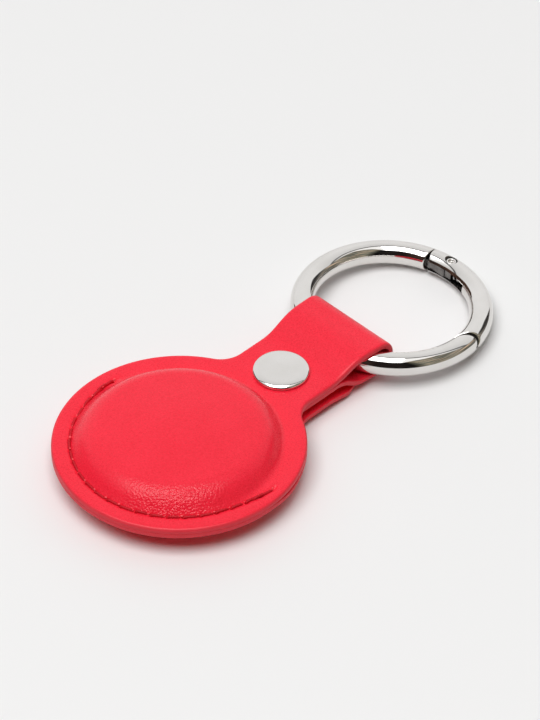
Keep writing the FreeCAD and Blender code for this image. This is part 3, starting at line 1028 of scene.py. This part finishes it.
def coil(steps=24, sides=12):
    """Vertices and faces of the spring in the gate's slot."""
    mean_r = (coil_d - coil_wire_d) / 2
    start = lug_reach + coil_seat_gap + coil_wire_d / 2
    turns = int(4 * (slot_reach - lug_reach - 2 * coil_seat_gap - coil_wire_d) / coil_pitch) / 4
    count = int(turns * steps)
    spots = []
    points = []
    for turn in spread(0, turns, count):
        a = tau * turn
        out = Vector((0, cos(a), sin(a)))
        ahead = Vector((coil_pitch / tau, -mean_r * sin(a), mean_r * cos(a))).normalized()
        beside = ahead.cross(out)
        spots.append(Vector((start + coil_pitch * turn, -coil_drop, 0)) + out * mean_r)
        for b in round_angles(sides):
            points.append(spots[-1] + (out * cos(b) + beside * sin(b)) * coil_wire_d / 2)
    return [spots[0]] + points + [spots[-1]], tube_faces(count + 1, sides)


def gate_spring(spring):
    """Compression spring that the ring's lug squeezes as the gate opens."""
    place = ring_frame()
    piece = mesh_object("gate_coil", [coil()], place, spring)
    stand_for(piece, "gate", "gate_spring")
    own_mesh(piece)


class Graph:
    """Node tree that is built up by short calls, over one set of coordinates."""

    def __init__(self, tree, coordinates):
        self.nodes = tree.nodes
        self.links = tree.links
        self.where = self.nodes.new("ShaderNodeTexCoord").outputs[coordinates]

    def node(self, kind, **sockets):
        made = self.nodes.new(kind)
        self.set(made, sockets)
        return made

    @staticmethod
    def set(node, sockets):
        for key, value in sockets.items():
            node.inputs[key.replace("_", " ")].default_value = value

    def feed(self, source, socket):
        """Links a socket to its source, which may also be a plain number."""
        if isinstance(source, (int, float)):
            socket.default_value = source
        else:
            self.links.new(source, socket)

    def math(self, operation, a, b=0.0):
        node = self.nodes.new("ShaderNodeMath")
        node.operation = operation
        self.feed(a, node.inputs[0])
        self.feed(b, node.inputs[1])
        return node.outputs[0]

    def vector(self, operation, source, other=(0, 0, 0)):
        node = self.nodes.new("ShaderNodeVectorMath")
        node.operation = operation
        self.links.new(source, node.inputs[0])
        node.inputs[1].default_value = other
        return node.outputs

    def dot(self, way):
        """How far the coordinates lie along a direction."""
        return self.vector("DOT_PRODUCT", self.where, way)["Value"]

    def noise(self, scale, detail, where=None):
        """Noise value over the coordinates, or over others."""
        node = self.node("ShaderNodeTexNoise", Scale=scale, Detail=detail)
        self.links.new(self.where if where is None else where, node.inputs["Vector"])
        return node.outputs["Fac"]

    def ramp(self, source, stops):
        """Colour ramp over a value, from (position, colour or grey level) stops."""
        node = self.nodes.new("ShaderNodeValToRGB")
        node.color_ramp.elements[0].position = stops[0][0]
        node.color_ramp.elements[1].position = stops[-1][0]
        for position, _ in stops[1:-1]:
            node.color_ramp.elements.new(position)
        for element, (_, colour) in zip(node.color_ramp.elements, stops):
            element.color = (*colour, 1) if isinstance(colour, tuple) else (colour, colour, colour, 1)
        self.links.new(source, node.inputs["Fac"])
        return node.outputs["Color"]

    def tones(self, value, dark, pale):
        """Colour between two tones over a noise value."""
        return self.ramp(value, [(0.3, dark), (0.7, pale)])

    def mix(self, factor, a, b, blend="MIX"):
        """Mix of two colours, given as sockets or plain values."""
        node = self.nodes.new("ShaderNodeMix")
        node.data_type = "RGBA"
        node.blend_type = blend
        self.feed(factor, node.inputs["Factor"])
        for source, socket in ((a, node.inputs[6]), (b, node.inputs[7])):
            if isinstance(source, tuple):
                socket.default_value = (*source, 1)
            else:
                self.links.new(source, socket)
        return node.outputs[2]

    def span(self, source, low, high, start=0.0, end=1.0):
        """Value from start to end spread between low and high."""
        node = self.node("ShaderNodeMapRange", From_Min=start, From_Max=end, To_Min=low, To_Max=high)
        self.links.new(source, node.inputs["Value"])
        return node.outputs["Result"]


class Shader(Graph):
    """Node material with a Principled shader."""

    def __init__(self, name, **sockets):
        self.material = bpy.data.materials.new(name)
        self.material.use_nodes = True
        super().__init__(self.material.node_tree, "Object")
        self.surface = self.nodes["Principled BSDF"]
        self.set(self.surface, sockets)

    def coat(self, value, dark, pale, smooth, rough):
        """Colour and roughness that follow one value."""
        self.link(self.tones(value, dark, pale), "Base Color")
        self.link(self.span(value, smooth, rough), "Roughness")

    def bump(self, height, strength, distance, under=None):
        node = self.node("ShaderNodeBump", Distance=distance)
        self.feed(strength, node.inputs["Strength"])
        self.links.new(height, node.inputs["Height"])
        if under is not None:
            self.links.new(under, node.inputs["Normal"])
        return node.outputs["Normal"]

    def link(self, source, socket):
        self.links.new(source, self.surface.inputs[socket])


# Grain, as the moulding left it: the ring where it rises and falls, and its strongest side
grain_rise = (13.6 * MM, 15.6 * MM)
grain_fall = (19.0 * MM, 20.3 * MM)
grain_side = (0.71, -0.70, 0)
grain_side_span = (0.80, 0.98)
grain_aside = 0.10
grain_flat = 0.14
grain_more = 0.74
grain_depth = 0.12 * MM
grain_gloss = 0.10


def grain_strength(m):
    """How far the leather was stretched: nothing on flat parts, most on the dome's wall by the seam."""
    r = m.vector("LENGTH", m.vector("MULTIPLY", m.where, (1, 1, 0))[0])["Value"]
    rising = m.span(r, 0.0, 1.0, *grain_rise)
    falling = m.span(r, 1.0, 0.0, *grain_fall)
    toward = m.math("DIVIDE", m.dot(grain_side), r)
    foremost = m.span(toward, grain_aside, 1.0, *grain_side_span)
    return m.math("MULTIPLY", m.math("MULTIPLY", rising, falling), foremost)


def leather_material():
    """Smooth red leather: pebbled grain, slight colour drift and a soft gloss."""
    m = Shader("leather_red", Specular_IOR_Level=0.26)
    tone = m.tones(m.noise(170.0, 4.0), (0.94, 0.021, 0.047), (0.98, 0.025, 0.054))
    specks = m.tones(m.noise(2600.0, 2.0), (0.88, 0.70, 0.74), (1.0, 1.05, 1.05))
    m.link(m.mix(1.0, tone, specks, "MULTIPLY"), "Base Color")
    cells = m.node("ShaderNodeTexVoronoi", Scale=2300.0, Randomness=0.9)
    m.links.new(m.where, cells.inputs["Vector"])
    pebble = m.math("SUBTRACT", 1.0, cells.outputs["Distance"])
    pores = m.noise(5200.0, 3.0)
    stretched = grain_strength(m)
    strength = m.math("ADD", m.math("MULTIPLY", stretched, grain_more), grain_flat)
    m.link(m.bump(pores, 0.3, 0.05 * MM, m.bump(pebble, strength, grain_depth)), "Normal")
    gloss = m.math("MULTIPLY", stretched, grain_gloss)
    m.link(m.math("SUBTRACT", m.span(pores, 0.20, 0.38), gloss), "Roughness")
    return m.material


def edge_material():
    """Painted leather edge: darker, duller and slightly uneven."""
    m = Shader("leather_edge_paint", Specular_IOR_Level=0.3)
    drift = m.noise(420.0, 3.0)
    m.coat(drift, (0.74, 0.026, 0.044), (0.78, 0.032, 0.052), 0.42, 0.56)
    m.link(m.bump(drift, 0.04, 0.1 * MM), "Normal")
    return m.material


def thread_material(name, dark, pale):
    """Waxed red sewing thread with fibres."""
    m = Shader(name, Specular_IOR_Level=0.2)
    fibres = m.noise(7000.0, 2.0)
    m.coat(fibres, dark, pale, 0.4, 0.6)
    m.link(m.bump(fibres, 0.4, 0.05 * MM), "Normal")
    return m.material


def nickel_material():
    """Polished nickel plating with faint wear in its gloss."""
    m = Shader("nickel_polished", Metallic=1.0)
    m.coat(m.noise(260.0, 6.0), (0.73, 0.71, 0.685), (0.77, 0.75, 0.73), 0.03, 0.09)
    m.link(m.bump(m.noise(1500.0, 2.0), 0.02, 0.05 * MM), "Normal")
    return m.material


def gap_shade_material():
    """Near-black plating in the gate's slot, on the tongue, in the pin hole and on the wire's ends: painted
    shade of the slot and of the gaps at the joints.
    """
    m = Shader("nickel_unpolished", Metallic=1.0)
    m.coat(m.noise(900.0, 4.0), (0.11, 0.10, 0.10), (0.24, 0.23, 0.22), 0.15, 0.35)
    return m.material


def spring_material():
    """Drawn spring wire, duller than the plating."""
    m = Shader("spring_wire", Metallic=1.0)
    m.coat(m.noise(5000.0, 2.0), (0.50, 0.50, 0.49), (0.64, 0.63, 0.61), 0.18, 0.32)
    return m.material


def finish_node(node, material):
    """Gives a CAD node that stays in view its material."""
    mesh = frame["nodes"][node].data
    mesh.materials.clear()
    mesh.materials.append(material)


# Studio
floor_colour = (0.86, 0.86, 0.86)
floor_half = 3.0
floor_drop = 0.02 * MM
panel_rise = radians(77.5)
panel_shift = -0.15
panel_size = (1.6, 1.42)
panel_distance = 2.0
panel_watts = 31.1
ambient = 0.62
camera_azimuth = radians(45.1)
camera_elevation = radians(42.4)
camera_distance = 1.000
camera_lens = 277.5
camera_target = Vector((-3.67 * MM, 26.40 * MM, 6.1 * MM))
level_near = Vector((sin(camera_azimuth), -cos(camera_azimuth), 0))
level_right = Vector((cos(camera_azimuth), sin(camera_azimuth), 0))

# What the metal shows: levels by rise, 0 level towards the camera and 1 level away, or by turn round the room
panel_colour = (1.20, 1.20, 1.20)
panel_end = 0.54
panel_edge = 0.005
panel_half = 0.7
panel_side_in = 0.12
panel_side_out = 0.06
line_end = 0.585
line_edge = 0.015
line_level = 0.9
line_colour = (0.05, 0.05, 0.05)
pale_walls = [(0.55, 0.76), (0.72, 0.90), (0.80, 0.96), (1.0, 0.90)]
room_tops = [
    (0.125, 0.0), (0.14, 0.30), (0.18, 0.42), (0.25, 0.50), (0.35, 0.66), (0.42, 0.80),
    (0.60, 0.82), (0.75, 0.70), (0.765, 0.47), (0.82, 0.44), (0.87, 0.42), (0.885, 0.0),
]
top_ragged = 0.06
top_soft = 0.015
slant_ragged = 0.03
slant_soft = 0.008
slant_from = (0.15, 0.2)
wall_slant = [(0.20, 0.30), (0.55, 0.54), (0.80, 0.54), (1.0, 0.50)]
room_walls = [
    (0.20, (0.07, 0.045, 0.035)), (0.40, (0.05, 0.033, 0.027)), (0.47, (0.014, 0.012, 0.012)),
    (0.57, (0.014, 0.014, 0.014)), (0.61, (0.25, 0.26, 0.21)), (0.74, (0.33, 0.33, 0.28)),
    (0.80, (0.22, 0.22, 0.20)), (0.83, (0.08, 0.08, 0.08)),
]
streak_stretch = (1.5, 1.5, 12.0)
streaks = [(0.38, (0.25, 0.22, 0.20)), (0.52, (1.0, 1.0, 1.0)), (0.66, (2.6, 1.9, 1.6))]


def studio_floor():
    """Plain pale floor under the holder."""
    m = Shader("floor_pale", Base_Color=(*floor_colour, 1), Roughness=0.9, Specular_IOR_Level=0.0)
    s = floor_half
    corners = [(-s, -s, 0), (s, -s, 0), (s, s, 0), (-s, s, 0)]
    floor = new_piece("floor", corners, [(0, 1, 2, 3)], [0], [m.material])
    floor.location.z = -floor_drop


def studio_tent(g, rise, across):
    """White panel overhead with a dark line at its far edge, between pale walls."""
    over = g.ramp(rise, [(0.0, 1.0), (panel_end - panel_edge, 1.0), (panel_end, 0.0), (1.0, 0.0)])
    sides = [(0.0, 1.0), (panel_half - panel_side_in, 1.0), (panel_half + panel_side_out, 0.0), (1.0, 0.0)]
    panel = g.math("MULTIPLY", over, g.ramp(g.math("ABSOLUTE", across), sides))
    tent = g.mix(panel, g.ramp(rise, pale_walls), panel_colour)
    line = [(panel_end - panel_edge, 0.0), (panel_end, line_level)]
    line += [(line_end - line_edge, line_level), (line_end, 0.0)]
    return g.mix(g.ramp(rise, line), tent, line_colour)


def room_streaks(g):
    """Level streaks of light and dark over the dim room."""
    flat = g.vector("MULTIPLY", g.where, streak_stretch)[0]
    return g.ramp(g.noise(1.6, 3.0, flat), streaks)


def studio_room(g):
    """What polished metal shows: the tent, and a dim room with ragged tops on the camera's side."""
    up = g.dot((0, 0, 1))
    near = g.dot(level_near)
    across = g.dot(level_right)
    rise = g.math("DIVIDE", g.math("ARCTAN2", up, near), pi)
    turn = g.math("ADD", g.math("DIVIDE", g.math("ARCTAN2", across, near), tau), 0.5)
    patches = g.noise(3.0, 4.0)
    top = g.math("ADD", g.ramp(turn, room_tops), g.span(patches, -top_ragged, top_ragged))
    below = g.span(g.math("SUBTRACT", top, up), 0.0, 1.0, 0.0, top_soft)
    slant = g.math("SUBTRACT", g.ramp(across, wall_slant), rise)
    slant = g.math("ADD", slant, g.span(patches, -slant_ragged, slant_ragged))
    inside = g.span(slant, 0.0, 1.0, 0.0, slant_soft)
    beside = g.math("MULTIPLY", inside, g.span(across, 0.0, 1.0, *slant_from))
    beside = g.math("MULTIPLY", beside, g.math("GREATER_THAN", near, 0.0))
    walls = g.mix(1.0, g.ramp(turn, room_walls), room_streaks(g), "MULTIPLY")
    return g.mix(g.math("MAXIMUM", below, beside), studio_tent(g, rise, across), walls)


def studio_world():
    """The studio shows in the metal and fills the shadows; the camera sees the floor's colour."""
    world = bpy.data.worlds.new("studio")
    world.use_nodes = True
    bpy.context.scene.world = world
    g = Graph(world.node_tree, "Generated")
    path = g.node("ShaderNodeLightPath")
    seen = g.mix(path.outputs["Is Camera Ray"], studio_room(g), floor_colour)
    g.links.new(seen, g.nodes["Background"].inputs["Color"])
    shown = g.math("MAXIMUM", path.outputs["Is Camera Ray"], path.outputs["Is Glossy Ray"])
    g.links.new(g.span(shown, ambient, 1.0), g.nodes["Background"].inputs["Strength"])


def studio_panel():
    """The one lamp: a soft panel high on the camera's side that looks at the holder, its width level."""
    high = Vector((0, 0, sin(panel_rise)))
    spot = (level_near * cos(panel_rise) + high + level_right * panel_shift) * panel_distance
    data = bpy.data.lights.new("panel", "AREA")
    data.shape = "RECTANGLE"
    data.size, data.size_y = panel_size
    data.energy = panel_watts
    lamp = put_in_scene("panel", data)
    face = (spot - camera_target).normalized()
    tall = face.cross(level_right).normalized()
    lamp.matrix_world = axes_at(spot, tall.cross(face), tall, face)


def studio_camera():
    """Camera at the photograph's angle."""
    a, e = camera_azimuth, camera_elevation
    back = Vector((sin(a) * cos(e), -cos(a) * cos(e), sin(e)))
    up = back.cross(level_right)
    data = bpy.data.cameras.new("camera")
    data.sensor_width = 36.0
    data.lens = camera_lens
    data.clip_start = 0.01
    camera = put_in_scene("camera", data)
    camera.matrix_world = axes_at(camera_target + back * camera_distance, level_right, up, back)
    bpy.context.scene.camera = camera


def build():
    leather = leather_material()
    edge = edge_material()
    # The thread's red is darker than the leather's: partly its own darker red and partly painted shade of the
    # sewn channel.
    thread = thread_material("thread_red", (0.44, 0.006, 0.014), (0.64, 0.011, 0.024))
    # Pale pink thread for the knots: painted highlight, where the thread's lumps catch the light.
    painted_highlight_knots = thread_material("thread_red_pale", (0.94, 0.060, 0.080), (1.00, 0.140, 0.160))
    nickel = nickel_material()
    # Near-black plating for the hinge's slot, tongue, pin hole and wire ends: painted shade.
    inside = gap_shade_material()
    spring = spring_material()
    front_leather(leather, edge)
    back_leather(leather, edge)
    rim_z = mid_z + ply
    stitching("stitches_front", "stitch_front", rim_z - thread_sink, 1, thread, painted_highlight_knots)
    stitching("stitches_back", "stitch_back", mid_z - ply + thread_sink, -1, thread, painted_highlight_knots)
    cap(nickel)
    ring_body(nickel, inside)
    ring_gate(nickel, inside)
    hinge_pin(nickel)
    gate_spring(spring)
    for node in ("cap_post", "snap_socket", "snap_stud", "stud_post"):
        finish_node(node, nickel)
    finish_node("socket_spring", spring)
    studio_floor()
    studio_world()
    studio_panel()
    studio_camera()
    bpy.context.scene.view_settings.view_transform = "Standard"


build()
